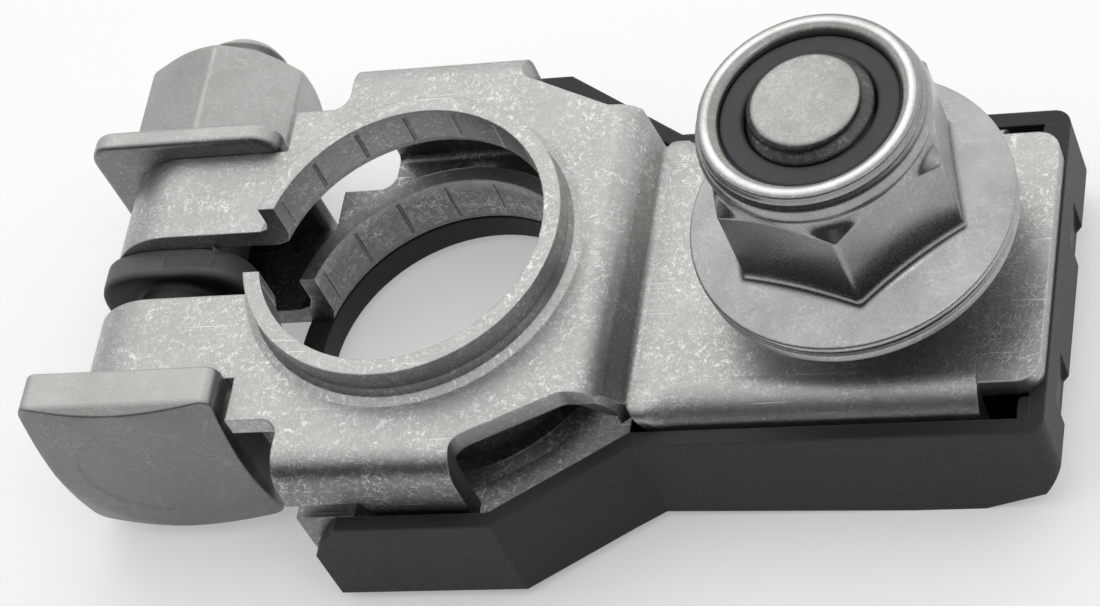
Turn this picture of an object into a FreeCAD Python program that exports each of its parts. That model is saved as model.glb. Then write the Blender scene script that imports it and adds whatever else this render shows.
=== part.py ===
"""Battery terminal clamp: a folded sheet clamp with a cable stud, in a plastic carrier tray.

Frame: origin on the post bore axis at the top plate's upper face, +X towards the
cable stud, +Y towards the clamp nut, +Z up along the battery post. Millimetres.
"""
import FreeCAD, Part
import os

import Sketcher
from FreeCAD import Placement, Rotation, Vector

os.makedirs("parts", exist_ok=True)
doc = FreeCAD.newDocument("BatteryTerminalClamp")

# Driving sizes
SIZES = {
    # folded sheet
    "sheet_thick": 1.5,
    "plate_rise": 9.2,
    "bend_step": 0.6,
    "overcut": 1.0,
    # plan of both plates, half widths from the centre line
    "ear_gap": 4.9,
    "ear_half": 8.9,
    "bolt_back": 18.1,
    "shoulder_back": 10.6,
    "shoulder_half": 12.1,
    "skirt_half": 16.2,
    "skirt_back": 6.9,
    "skirt_front": 5.0,
    "waist_in": 2.2,
    "neck_x": 11.6,
    "neck_half": 10.95,
    "foot_half": 9.8,
    "lower_end": 13.1,
    "corner_round": 1.2,
    # skirts and the latch where they meet
    "skirt_bend": 2.0,
    "skirt_deep": 6.6,
    "latch_shallow": 3.8,
    "latch_x": 1.9,
    "latch_slope": 0.9,
    "tab_high": 5.4,
    "tab_end": 3.0,
    "tab_low": 7.6,
    # step and tongue
    "step_x": 13.7,
    "step_run": 1.0,
    "step_drop": 3.5,
    "tongue_half": 10.7,
    "tongue_bend": 2.4,
    "flange_from": 15.9,
    "flange_to": 36.8,
    "flange_deep": 4.0,
    "end_half": 9.2,
    "end_x": 40.6,
    "end_round": 1.5,
    # post rings
    "upper_bore": 9.6,
    "upper_height": 2.45,
    "lower_bore": 9.9,
    "lower_height": 3.4,
    "ring_wall": 1.1,
    "upper_foot": 0.8,
    "lower_foot": 1.25,
    "coin_count": 18,
    "coin_from": 0.4,
    "coin_wide": 0.45,
    "coin_depth": 0.2,
    # clamp bolt, its square plate and nut
    "bolt_radius": 3.0,
    "bolt_length": 30.3,
    "square_side": 13.8,
    "head_thick": 3.6,
    "head_bevel": 0.85,
    "head_slope": 18,
    "plate_thick": 1.45,
    "plate_round": 1.8,
    "plate_play": 0.2,
    "clamp_flats": 11.0,
    "clamp_nut_high": 8.0,
    "clamp_nut_turn": 23.9,
    "tip_bevel": 0.6,
    "nut_slope": 30,
    "thread_play": 0.05,
    "face_play": 0.02,
    # spacer between the ears
    "spacer_thick": 2.25,
    "spacer_left": 6.0,
    "spacer_right": 5.5,
    "spacer_up": 4.0,
    "spacer_down": 4.2,
    "spacer_round": 2.6,
    "spacer_recess": 0.2,
    # cable stud and its nut
    "stud_x": 29.5,
    "stud_radius": 4.0,
    "stud_end": 13.4,
    "stud_tip": 0.95,
    "stud_tip_in": 0.78,
    "stud_head": 12.6,
    "stud_head_thick": 4.8,
    "stud_play": 0.15,
    "nut_seat": 1.85,
    "flange_radius": 10.2,
    "flange_edge": 0.4,
    "flange_root": 1.25,
    "nut_flats": 13.6,
    "nut_hex_top": 8.2,
    "nut_turn": 42.3,
    "collar_over": 0.35,
    "collar_low": 7.3,
    "collar_top": 9.7,
    "lip_outer": 6.2,
    "lip_inner": 5.5,
    "nut_top": 11.1,
    "insert_low": 8.6,
    "insert_top": 10.5,
    "washer_radius": 10.1,
    "washer_bore": 4.7,
    "washer_hub": 7.2,
    "washer_thick": 0.8,
    "washer_step": 0.4,
    # carrier tray
    "tray_wall": 1.05,
    "tray_play": 0.2,
    "tray_back": 6.3,
    "tray_wide_x": 6.2,
    "tray_slim_x": 14.7,
    "tray_end_play": 0.15,
    "tray_low": 12.8,
    "tray_low_stud": 13.6,
    "tray_low_from": 13.0,
    "tray_low_at": 31.0,
    "tray_low_to": 35.5,
    "tray_heel_x": 1.2,
    "tray_heel_up": 1.5,
    "tray_end_up": 3.3,
    "tray_floor": 1.3,
    "tray_hole": 10.3,
    "tray_rim": 1.7,
    "tray_round": 1.1,
    "tray_nose_x": 2.3,
    "tray_nose_z": 3.0,
    "notch_in": 0.45,
    "notch_high": 2.8,
    "notch_back": 5.1,
    "notch_back_wide": 3.0,
    "notch_front": 6.35,
    "notch_front_wide": 3.5,
    "socket_wall": 1.2,
    "socket_play": 0.1,
}

sheet = doc.addObject("Spreadsheet::Sheet", "Sizes")
for row, (alias, value) in enumerate(SIZES.items(), start=1):
    sheet.set("A%d" % row, alias)
    sheet.set("B%d" % row, str(value))
    sheet.setAlias("B%d" % row, alias)
doc.recompute()


def ref(text):
    """An expression in which each size name is read from the sheet."""
    for alias in sorted(SIZES, key=len, reverse=True):
        text = text.replace("{%s}" % alias, "<<Sizes>>.%s" % alias)
    return text


def now(text):
    """The present number of an expression, used only to place new geometry."""
    return float(sheet.evalExpression(ref(text)))


def new_body(label):
    body = doc.addObject("PartDesign::Body", label)
    body.Label = label
    return body


def place(body, x, y, z, rotation=None):
    """Set a body's Placement, its base bound to the sheet."""
    body.Placement = Placement(Vector(0, 0, 0), rotation or Rotation())
    for axis, text in (("x", x), ("y", y), ("z", z)):
        body.setExpression("Placement.Base." + axis, ref(text))


def origin_plane(body, role):
    for feature in body.Origin.OriginFeatures:
        if feature.Role == role:
            return feature


def new_sketch(body, name, role="XY_Plane", offset="0"):
    """A sketch flat on one of the body's own planes, moved along its normal."""
    sketch = body.newObject("Sketcher::SketchObject", name)
    sketch.AttachmentSupport = [(origin_plane(body, role), "")]
    sketch.MapMode = "FlatFace"
    sketch.setExpression("AttachmentOffset.Base.z", ref(offset))
    return sketch


def pin(sketch, geometry, point, across, up=None):
    """Fix one point of the sketch at coordinates bound to the sheet."""
    for kind, text in (("DistanceX", across), ("DistanceY", up)):
        if text is None:
            continue
        index = sketch.addConstraint(Sketcher.Constraint(kind, -1, 1, geometry, point, now(text)))
        sketch.setExpression("Constraints[%d]" % index, ref(text))


def loop(sketch, corners, arcs=None):
    """A closed outline through corners, each given as two expressions.

    arcs maps the number of a side to two expressions for a point that the arc passes
    and one for its centre's first coordinate; every other side is straight.
    """
    arcs = arcs or {}
    spots = [Vector(now(a), now(b), 0) for a, b in corners]
    first = sketch.GeometryCount
    count = len(corners)
    for i in range(count):
        start, end = spots[i], spots[(i + 1) % count]
        if i in arcs:
            middle = Vector(now(arcs[i][0]), now(arcs[i][1]), 0)
            sketch.addGeometry(Part.Arc(start, middle, end), False)
        else:
            sketch.addGeometry(Part.LineSegment(start, end), False)

    def end_at(side, spot):
        return 1 if sketch.getPoint(first + side, 1).distanceToPoint(spot) < 1e-4 else 2

    for i, spot in enumerate(spots):
        last = (i - 1) % count
        sketch.addConstraint(Sketcher.Constraint(
            "Coincident", first + last, end_at(last, spot), first + i, end_at(i, spot)))
        pin(sketch, first + i, end_at(i, spot), *corners[i])
    for i, (_, _, centre) in arcs.items():
        pin(sketch, first + i, 3, centre)


def ring(sketch, across, up, radius):
    """A circle with its centre and radius bound to the sheet."""
    centre = Vector(now(across), now(up), 0)
    index = sketch.addGeometry(Part.Circle(centre, Vector(0, 0, 1), now(radius)), False)
    pin(sketch, index, 3, across, up)
    bound = sketch.addConstraint(Sketcher.Constraint("Radius", index, now(radius)))
    sketch.setExpression("Constraints[%d]" % bound, ref(radius))


def mirrored_half(corners):
    """Both halves of an outline that is drawn for positive second coordinates."""
    other = [(across, "-(%s)" % up) for across, up in reversed(corners)]
    return corners + other


def box_corners(left, right, low, high):
    return [(left, low), (right, low), (right, high), (left, high)]


def settle(feature):
    """Recompute with merged faces, and stop at once if the feature fails."""
    if hasattr(feature, "Refine"):
        feature.Refine = True
    doc.recompute()
    if "Invalid" in feature.State or "Error" in feature.State or feature.Shape.isNull():
        raise RuntimeError("%s: %s" % (feature.Name, feature.getStatusString()))
    if not feature.Shape.isValid():
        raise RuntimeError(feature.Name + " leaves an unsound solid")
    return feature


def pad(body, sketch, name, length, both=False, back=False):
    feature = body.newObject("PartDesign::Pad", name)
    feature.Profile = sketch
    feature.setExpression("Length", ref(length))
    feature.Midplane = both
    feature.Reversed = back
    return settle(feature)


def pocket(body, sketch, name, length, both=False, back=False):
    before = body.Shape.Volume
    feature = body.newObject("PartDesign::Pocket", name)
    feature.Profile = sketch
    feature.setExpression("Length", ref(length))
    feature.Midplane = both
    feature.Reversed = back
    settle(feature)
    if body.Shape.Volume > before - 1e-4:
        raise RuntimeError(name + " removes nothing")
    return feature


def turned(body, sketch, name, kind="PartDesign::Revolution"):
    """A full turn of the sketch about its own vertical axis."""
    before = body.Shape.Volume if kind == "PartDesign::Groove" else None
    feature = body.newObject(kind, name)
    feature.Profile = sketch
    feature.ReferenceAxis = (sketch, ["V_Axis"])
    feature.Angle = 360.0
    settle(feature)
    if before is not None and body.Shape.Volume > before - 1e-4:
        raise RuntimeError(name + " removes nothing")
    return feature


def mirrored(body, feature, name, role="XZ_Plane"):
    copy = body.newObject("PartDesign::Mirrored", name)
    copy.Originals = [feature]
    copy.MirrorPlane = (origin_plane(body, role), [""])
    body.Tip = copy
    return settle(copy)


def ringed(body, feature, name, count):
    """The feature repeated evenly about the vertical axis."""
    copy = body.newObject("PartDesign::PolarPattern", name)
    copy.Originals = [feature]
    copy.Axis = (feature.Profile[0], ["N_Axis"])
    copy.Angle = 360.0
    copy.setExpression("Occurrences", ref(count))
    body.Tip = copy
    return settle(copy)


SLACK = 0.02


def edges_where(body, test):
    """Names of the body's edges whose bounding box and curve pass the test."""
    names = []
    for number, edge in enumerate(body.Tip.Shape.Edges, start=1):
        if edge.isNull() or edge.Length < 1e-6:
            continue
        if test(edge, edge.BoundBox):
            names.append("Edge%d" % number)
    return names


def rounded(body, name, radius, test, kind="PartDesign::Fillet"):
    """A fillet or chamfer on the edges of the present solid that pass the test."""
    names = edges_where(body, test)
    if not names:
        raise RuntimeError(name + " finds no edge")
    tip = body.Tip
    feature = body.newObject(kind, name)
    feature.Base = (tip, names)
    feature.setExpression("Radius" if kind == "PartDesign::Fillet" else "Size", ref(radius))
    return settle(feature)


def near(value, text):
    return abs(value - now(text)) < SLACK


def along_x(box, y, z):
    """A straight edge along X at the given half width and height."""
    flat = box.YLength < SLACK and box.ZLength < SLACK
    return flat and near(abs(box.Center.y), y) and near(box.Center.z, z)


def along_y(box, x, z):
    flat = box.XLength < SLACK and box.ZLength < SLACK and box.YLength > box.XLength
    return flat and near(box.Center.x, x) and near(box.Center.z, z)


def upright(box, x, y):
    """A straight edge along Z at the given x and half width."""
    flat = box.XLength < SLACK and box.YLength < SLACK
    return flat and near(box.Center.x, x) and near(abs(box.Center.y), y)


def post(box, beyond="0"):
    """A straight edge along the body's own Z, further out along X than the given distance."""
    flat = box.XLength < SLACK and box.YLength < SLACK
    return flat and abs(box.Center.x) > now(beyond) + SLACK


def hoop(edge, radius, z):
    """A circular edge about the body's vertical axis."""
    curve = edge.Curve
    if not isinstance(curve, Part.Circle):
        return False
    return near(curve.Radius, radius) and near(curve.Center.z, z)


# Folded clamp: the strip seen from the side, as wide as the skirts
UNDER = "-{sheet_thick}"
FLOOR_TOP = "-{plate_rise}"
FLOOR_LOW = "-{plate_rise} - {sheet_thick}"
BOLT_Z = "-({plate_rise} + {sheet_thick})/2"
TONGUE_TOP = "-{step_drop}"
TONGUE_LOW = "-{step_drop} - {sheet_thick}"
STEP_SHIFT = "{sheet_thick}*tan(atan({step_drop}/{step_run})/2)"

clamp = new_body("clamp_body")
side = new_sketch(clamp, "SideProfile", "XZ_Plane")
corners = [
    ("-{bolt_back}", "0"),
    ("{step_x}", "0"),
    ("{step_x} + {step_run}", TONGUE_TOP),
    ("{end_x}", TONGUE_TOP),
    ("{end_x}", TONGUE_LOW),
    ("{step_x} + {step_run} - " + STEP_SHIFT, TONGUE_LOW),
    ("{step_x} - " + STEP_SHIFT, UNDER),
    ("-{bolt_back}", UNDER),
    ("-{bolt_back}", FLOOR_TOP),
    ("{lower_end}", FLOOR_TOP),
    ("{lower_end}", FLOOR_LOW),
    ("-{bolt_back}", FLOOR_LOW),
]
BEND_END = "-{bolt_back} - ({plate_rise} + {sheet_thick})/2"
loop(side, corners, {
    7: (BEND_END + " + {sheet_thick}", BOLT_Z, "-{bolt_back}"),
    11: (BEND_END, BOLT_Z, "-{bolt_back}"),
})
strip = pad(clamp, side, "FoldedStrip", "2*{skirt_half}", both=True)

rounded(clamp, "StepOuterBends", "{bend_step} + {sheet_thick}", lambda e, b: (
    along_y(b, "{step_x}", "0") or along_y(b, "{step_x} + {step_run} - " + STEP_SHIFT, TONGUE_LOW)))
rounded(clamp, "StepInnerBends", "{bend_step}", lambda e, b: (
    along_y(b, "{step_x} - " + STEP_SHIFT, UNDER)
    or along_y(b, "{step_x} + {step_run}", TONGUE_TOP)))

# Plan outline: ears, shoulders, skirts, splayed waist, tongue and end tab
plan = new_sketch(clamp, "PlanOutline", "XY_Plane", "{upper_height}")
loop(plan, box_corners("-{bolt_back} - {plate_rise} - {overcut}", "{end_x} + 2*{overcut}",
                       "-{skirt_half} - {overcut}", "{skirt_half} + {overcut}"))
loop(plan, mirrored_half([
    ("-{bolt_back} - {plate_rise}", "{ear_half}"),
    ("-{shoulder_back}", "{ear_half}"),
    ("-{shoulder_back}", "{shoulder_half}"),
    ("-{skirt_back}", "{shoulder_half}"),
    ("-{skirt_back}", "{skirt_half}"),
    ("{skirt_front}", "{skirt_half}"),
    ("{skirt_front}", "{skirt_half} - {waist_in}"),
    ("{neck_x}", "{neck_half}"),
    ("{step_x}", "{neck_half}"),
    ("{step_x} + {step_run}", "{foot_half}"),
    ("{flange_from}", "{foot_half}"),
    ("{flange_from}", "{tongue_half} - {tongue_bend}"),
    ("{flange_to}", "{tongue_half} - {tongue_bend}"),
    ("{flange_to}", "{end_half}"),
    ("{end_x} + {overcut}", "{end_half}"),
]))
pocket(clamp, plan, "TrimToPlan", "{upper_height} + {plate_rise} + 2*{sheet_thick}")

rounded(clamp, "PlanCorners", "{corner_round}", lambda e, b: (
    upright(b, "-{skirt_back}", "{shoulder_half}")
    or upright(b, "{skirt_front}", "{skirt_half} - {waist_in}")
    or upright(b, "{neck_x}", "{neck_half}")))
rounded(clamp, "EndTabCorners", "{end_round}", lambda e, b: upright(b, "{end_x}", "{end_half}"))

# The edge narrows down the step, square to the sheet
narrow = new_sketch(clamp, "StepNarrowing", "YZ_Plane", "{step_x} + {step_run}/2")
for out in ("", "-"):
    loop(narrow, [
        (out + "{neck_half}", UNDER),
        (out + "({neck_half} + {overcut})", UNDER),
        (out + "({neck_half} + {overcut})", TONGUE_LOW + " - {overcut}"),
        (out + "{foot_half}", TONGUE_LOW + " - {overcut}"),
        (out + "{foot_half}", TONGUE_LOW),
    ])
pocket(clamp, narrow, "StepNarrowed", "{step_run} + {sheet_thick}")

# Skirts that close the box, latched into each other at one end
skirts = new_sketch(clamp, "UpperSkirtProfile", "XZ_Plane", "{skirt_half}")
loop(skirts, [
    ("-{skirt_back}", "-{sheet_thick}/2"),
    ("-{skirt_back}", "-{latch_shallow}"),
    ("-{latch_x}", "-{latch_shallow}"),
    ("-{latch_x} + {latch_slope}", "-{skirt_deep}"),
    ("{skirt_front}", "-{skirt_deep}"),
    ("{skirt_front}", "-{sheet_thick}/2"),
])
upper_skirt = pad(clamp, skirts, "UpperSkirt", "{sheet_thick}", back=True)
mirrored(clamp, upper_skirt, "UpperSkirtBehind")
skirts = new_sketch(clamp, "LowerSkirtProfile", "XZ_Plane", "{skirt_half}")
loop(skirts, [
    ("-{skirt_back}", "-{plate_rise} - {sheet_thick}/2"),
    ("{skirt_front}", "-{plate_rise} - {sheet_thick}/2"),
    ("{skirt_front}", "-{tab_low}"),
    ("-{tab_end} + {latch_slope}", "-{tab_low}"),
    ("-{tab_end}", "-{tab_high}"),
    ("-{skirt_back}", "-{tab_high}"),
])
lower_skirt = pad(clamp, skirts, "LowerSkirt", "{sheet_thick}", back=True)
mirrored(clamp, lower_skirt, "LowerSkirtBehind")

rounded(clamp, "SkirtOuterBends", "{skirt_bend}", lambda e, b: (
    along_x(b, "{skirt_half}", "0") or along_x(b, "{skirt_half}", FLOOR_LOW)))
rounded(clamp, "SkirtInnerBends", "{skirt_bend} - {sheet_thick}", lambda e, b: (
    along_x(b, "{skirt_half} - {sheet_thick}", UNDER)
    or along_x(b, "{skirt_half} - {sheet_thick}", FLOOR_TOP)))

# Tongue: a channel with its flanges turned down
OUT = "{tongue_half}"
FLAT = "({tongue_half} - {tongue_bend})"
IN = "({tongue_half} - {sheet_thick})"
TURN = TONGUE_TOP + " - {tongue_bend}"
DEEP = TONGUE_TOP + " - {flange_deep}"
OUT_MID = "{tongue_bend}*cos(45)"
IN_MID = "({tongue_bend} - {sheet_thick})*cos(45)"
channel = new_sketch(clamp, "TongueSection", "YZ_Plane", "{flange_from}")
loop(channel, [
    ("-" + OUT, DEEP),
    ("-" + OUT, TURN),
    ("-" + FLAT, TONGUE_TOP),
    (FLAT, TONGUE_TOP),
    (OUT, TURN),
    (OUT, DEEP),
    (IN, DEEP),
    (IN, TURN),
    (FLAT, TONGUE_LOW),
    ("-" + FLAT, TONGUE_LOW),
    ("-" + IN, TURN),
    ("-" + IN, DEEP),
], {
    1: ("-%s - %s" % (FLAT, OUT_MID), TURN + " + " + OUT_MID, "-" + FLAT),
    3: ("%s + %s" % (FLAT, OUT_MID), TURN + " + " + OUT_MID, FLAT),
    7: ("%s + %s" % (FLAT, IN_MID), TURN + " + " + IN_MID, FLAT),
    9: ("-%s - %s" % (FLAT, IN_MID), TURN + " + " + IN_MID, "-" + FLAT),
})
pad(clamp, channel, "TongueChannel", "{flange_to} - {flange_from}")

# Drawn post rings, each rising from its plate
opened = new_sketch(clamp, "UpperOpening", "XY_Plane", "{sheet_thick}")
ring(opened, "0", "0", "{upper_bore} + {ring_wall}")
pocket(clamp, opened, "UpperOpened", "2*{sheet_thick} + {sheet_thick}/2")
opened = new_sketch(clamp, "LowerOpening", "XY_Plane", "-{plate_rise} + {sheet_thick}")
ring(opened, "0", "0", "{lower_bore} + {ring_wall}")
pocket(clamp, opened, "LowerOpened", "3*{sheet_thick}")


def round_steps(across, up, radius, first, last, count=2):
    """Corners of a quarter round, drawn as a few straight runs between two angles."""
    turn = (last - first) / count
    return [("%s + %s*cos(%g)" % (across, radius, first + turn * k),
             "%s + %s*sin(%g)" % (up, radius, first + turn * k)) for k in range(count + 1)]


def ring_profile(name, bore, low, plate, top, foot):
    """Section of a drawn ring: flared mouth below, flat rim, rounded foot on the plate."""
    outer = "(%s + {ring_wall})" % bore
    sketch = new_sketch(clamp, name, "XZ_Plane")
    corners = round_steps(outer, "%s + {ring_wall}" % low, "{ring_wall}", 270, 180)
    corners += [(bore, top), (outer, top)]
    corners += round_steps(outer + " + " + foot, "%s + %s" % (plate, foot), foot, 180, 270)
    corners.append((outer, plate))
    loop(sketch, corners)
    return sketch


UPPER_RIM = "{upper_height}"
LOWER_RIM = "{lower_height} - {plate_rise}"
turned(clamp, ring_profile("UpperRingProfile", "{upper_bore}", UNDER, "0", UPPER_RIM,
                           "{upper_foot}"), "UpperRing")
turned(clamp, ring_profile("LowerRingProfile", "{lower_bore}", FLOOR_LOW, FLOOR_TOP, LOWER_RIM,
                           "{lower_foot}"), "LowerRing")

# Coined grip lines down the inside of both rings, from just under the rim
for which, bore, rim, low in (("Upper", "{upper_bore}", UPPER_RIM, UNDER),
                              ("Lower", "{lower_bore}", LOWER_RIM, FLOOR_LOW)):
    start = rim + " - {coin_from}"
    mark = new_sketch(clamp, which + "CoinMark", "XY_Plane", start)
    loop(mark, [
        ("%s - {coin_wide}" % bore, "-{coin_wide}"),
        ("%s + {coin_depth}" % bore, "0"),
        ("%s - {coin_wide}" % bore, "{coin_wide}"),
    ])
    cut = pocket(clamp, mark, which + "Coin", "%s - (%s)" % (start, low))
    ringed(clamp, cut, which + "Coins", "{coin_count}")

# Slot that splits both rings and the folded ears
slot = new_sketch(clamp, "EarSlot", "XY_Plane", "{upper_height} + {overcut}")
loop(slot, box_corners("-{bolt_back} - {plate_rise}", "-{upper_bore}/2",
                       "-{ear_gap}/2", "{ear_gap}/2"))
pocket(clamp, slot, "EarsSplit", "{upper_height} + {plate_rise} + 2*{sheet_thick}")

# Hole for the cable stud
hole = new_sketch(clamp, "StudHole", "XY_Plane", TONGUE_TOP + " + {overcut}")
ring(hole, "{stud_x}", "0", "{stud_radius} + {stud_play}")
pocket(clamp, hole, "StudOpening", "{sheet_thick} + 2*{overcut}")

# Clamp bolt: square head with a bevelled face, plain shank
bolt = new_body("clamp_bolt")
place(bolt, "-{bolt_back}", "-{ear_half}", BOLT_Z, Rotation(Vector(1, 0, 0), -90))
face = new_sketch(bolt, "HeadSquare")
loop(face, box_corners("-{square_side}/2", "{square_side}/2", "-{square_side}/2", "{square_side}/2"))
pad(bolt, face, "Head", "{head_thick}", back=True)
rounded(bolt, "HeadCorners", "{head_bevel}", lambda e, b: post(b))
bevel = new_sketch(bolt, "HeadBevelProfile", "XZ_Plane")
loop(bevel, [
    ("{square_side}/2 - {head_bevel}/4", "-{head_thick}"),
    ("{square_side}", "-{head_thick}"),
    ("{square_side}", "-{head_thick} + {square_side}/2*tan({head_slope})"),
])
turned(bolt, bevel, "HeadBevel", "PartDesign::Groove")
shank = new_sketch(bolt, "ShankProfile", "XZ_Plane")
loop(shank, [
    ("0", "-{head_thick}/2"),
    ("{bolt_radius}", "-{head_thick}/2"),
    ("{bolt_radius}", "{bolt_length} - {tip_bevel}"),
    ("{bolt_radius} - {tip_bevel}", "{bolt_length}"),
    ("0", "{bolt_length}"),
])
turned(bolt, shank, "Shank")

# Square plate under the clamp nut
plate = new_body("square_washer")
place(plate, "-{bolt_back}", "{ear_half} + {face_play}", BOLT_Z, Rotation(Vector(1, 0, 0), -90))
face = new_sketch(plate, "PlateSquare")
loop(face, box_corners("-{square_side}/2", "{square_side}/2", "-{square_side}/2", "{square_side}/2"))
ring(face, "0", "0", "{bolt_radius} + {plate_play}")
pad(plate, face, "Plate", "{plate_thick}")
rounded(plate, "PlateCorners", "{plate_round}", lambda e, b: (
    post(b, "{bolt_radius} + {plate_play}")))
rounded(plate, "PlateEdges", "{plate_thick}/5", lambda e, b: (
    b.ZLength < SLACK and not hoop(e, "{bolt_radius} + {plate_play}", "0")
    and not hoop(e, "{bolt_radius} + {plate_play}", "{plate_thick}")), "PartDesign::Chamfer")


def hexagon(body, name, flats, turn, offset):
    """A closed hexagon of the given width across flats, first corner at the turn angle."""
    sketch = new_sketch(body, name, "XY_Plane", offset)
    reach = "%s/2/cos(30)" % flats
    loop(sketch, [("%s*cos(%s + %d)" % (reach, turn, 60 * k),
                   "%s*sin(%s + %d)" % (reach, turn, 60 * k)) for k in range(6)])
    return sketch


# Clamp nut: tall hexagon, bevelled at both ends
clamp_nut = new_body("clamp_nut")
place(clamp_nut, "-{bolt_back}", "{ear_half} + {plate_thick} + 2*{face_play}", BOLT_Z,
      Rotation(Vector(1, 0, 0), -90))
flats = hexagon(clamp_nut, "NutHexagon", "{clamp_flats}", "-{clamp_nut_turn}", "0")
ring(flats, "0", "0", "{bolt_radius} + {thread_play}")
pad(clamp_nut, flats, "NutBody", "{clamp_nut_high}")
bevel = new_sketch(clamp_nut, "NutBevelProfile", "XZ_Plane")
loop(bevel, [
    ("{clamp_flats}/2 - {tip_bevel}/2", "{clamp_nut_high}"),
    ("{clamp_flats}", "{clamp_nut_high}"),
    ("{clamp_flats}", "{clamp_nut_high} - ({clamp_flats}/2 + {tip_bevel}/2)*tan({nut_slope})"),
])
turned(clamp_nut, bevel, "NutBevel", "PartDesign::Groove")

# Spacer that rides on the bolt between the ears and limits how far they close
spacer = new_body("ear_spacer")
place(spacer, "-{bolt_back}", "{ear_gap}/2 - {spacer_thick}", BOLT_Z,
      Rotation(Vector(1, 0, 0), -90))
face = new_sketch(spacer, "SpacerOutline")
loop(face, box_corners("-{spacer_left}", "{spacer_right}", "-{spacer_up}", "{spacer_down}"))
ring(face, "0", "0", "{bolt_radius} + {plate_play}")
pad(spacer, face, "SpacerPlate", "{spacer_thick}")
rounded(spacer, "SpacerCorners", "{spacer_round}", lambda e, b: (
    post(b, "{bolt_radius} + {plate_play}")))
rounded(spacer, "SpacerFrontEdge", "{spacer_thick}/4", lambda e, b: (
    b.ZLength < SLACK and near(b.Center.z, "0")
    and not hoop(e, "{bolt_radius} + {plate_play}", "0")), "PartDesign::Chamfer")
recess = new_sketch(spacer, "SpacerRecessOutline", "XY_Plane", "{spacer_thick}/4")
loop(recess, box_corners("-{spacer_left}/10", "{spacer_right}/2",
                         "-{spacer_up} - {overcut}", "-{spacer_up} + {spacer_recess}"))
pocket(spacer, recess, "SpacerRecess", "{spacer_thick}/2", back=True)

# Cable stud: square head under the tongue, shank through it
stud = new_body("cable_stud")
place(stud, "{stud_x}", "0", TONGUE_LOW)
face = new_sketch(stud, "StudHeadSquare")
loop(face, box_corners("-{stud_head}/2", "{stud_head}/2", "-{stud_head}/2", "{stud_head}/2"))
pad(stud, face, "StudHead", "{stud_head_thick}", back=True)
rounded(stud, "StudHeadCorners", "{head_bevel}", lambda e, b: post(b))
shank = new_sketch(stud, "StudProfile", "XZ_Plane")
STUD_HIGH = "{stud_end} + {step_drop} + {sheet_thick}"
loop(shank, [
    ("0", "-{stud_head_thick}/2"),
    ("{stud_radius}", "-{stud_head_thick}/2"),
    ("{stud_radius}", STUD_HIGH + " - {stud_tip}"),
    ("{stud_radius} - {stud_tip_in}", STUD_HIGH),
    ("0", STUD_HIGH),
])
turned(stud, shank, "StudShank")

# Stud nut: flanged hexagon with a crimped collar over its locking insert
nut = new_body("stud_nut")
place(nut, "{stud_x}", "0", "{nut_seat}")
profile = new_sketch(nut, "NutProfile", "XZ_Plane")
BORE = "{stud_radius} + {thread_play}"
COLLAR = "({nut_flats}/2 + {collar_over})"
loop(profile, [
    (BORE, "0"),
    ("{flange_radius}", "0"),
    ("{flange_radius}", "{flange_edge}"),
    ("{nut_flats}/2/cos(30)", "{flange_root}"),
    ("{nut_flats}/2 - {tip_bevel}", "{flange_root} + {tip_bevel}"),
    ("{nut_flats}/2 - {tip_bevel}", "{collar_low}"),
    (COLLAR, "{collar_low}"),
    (COLLAR, "{collar_top}"),
    ("{lip_outer}", "{nut_top}"),
    ("{lip_inner}", "{nut_top}"),
    ("{lip_inner}", "{insert_low}"),
    (BORE, "{insert_low}"),
])
turned(nut, profile, "NutTurned")
flats = hexagon(nut, "StudNutHexagon", "{nut_flats}", "{nut_turn}", "{flange_edge}")
ring(flats, "0", "0", BORE)
pad(nut, flats, "NutHex", "{nut_hex_top} - {flange_edge}")
bevel = new_sketch(nut, "StudNutBevelProfile", "XZ_Plane")
loop(bevel, [
    (COLLAR, "{nut_hex_top}"),
    (COLLAR, "{nut_hex_top} + {overcut}"),
    ("{nut_flats}", "{nut_hex_top} + {overcut}"),
    ("{nut_flats}", "{nut_hex_top} - ({nut_flats}/2 - {collar_over})*tan({nut_slope})"),
])
turned(nut, bevel, "StudNutBevel", "PartDesign::Groove")

insert = new_body("nut_insert")
place(insert, "{stud_x}", "0", "{nut_seat}")
profile = new_sketch(insert, "InsertProfile", "XZ_Plane")
loop(profile, box_corners(BORE, "{lip_inner}", "{insert_low}", "{insert_top}"))
turned(insert, profile, "InsertRing")

# Captive washer: its hub holds the flange's rim just clear of it
washer = new_body("contact_washer")
place(washer, "{stud_x}", "0", "{nut_seat} - {face_play} - {washer_thick} - {washer_step}")
profile = new_sketch(washer, "WasherProfile", "XZ_Plane")
loop(profile, [
    ("{washer_bore}", "0"),
    ("{washer_radius}", "0"),
    ("{washer_radius}", "{washer_thick}"),
    ("{washer_hub}", "{washer_thick}"),
    ("{washer_hub}", "{washer_thick} + {washer_step}"),
    ("{washer_bore}", "{washer_thick} + {washer_step}"),
])
turned(washer, profile, "WasherDisc")

# Carrier tray: walls that follow the plan, sloping underside, round post opening
TRAY_TOP = TONGUE_LOW
WIDE = "{skirt_half} + {tray_play}"
SLIM = "{tongue_half} + {tray_play}"
SLIM_X = "{tray_slim_x}"
TRAY_END = "{end_x} + {tray_end_play}"
LEAN = "atan(({skirt_half} - {tongue_half})/({tray_slim_x} - {tray_wide_x}))"
tray = new_body("carrier_tray")


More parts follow.
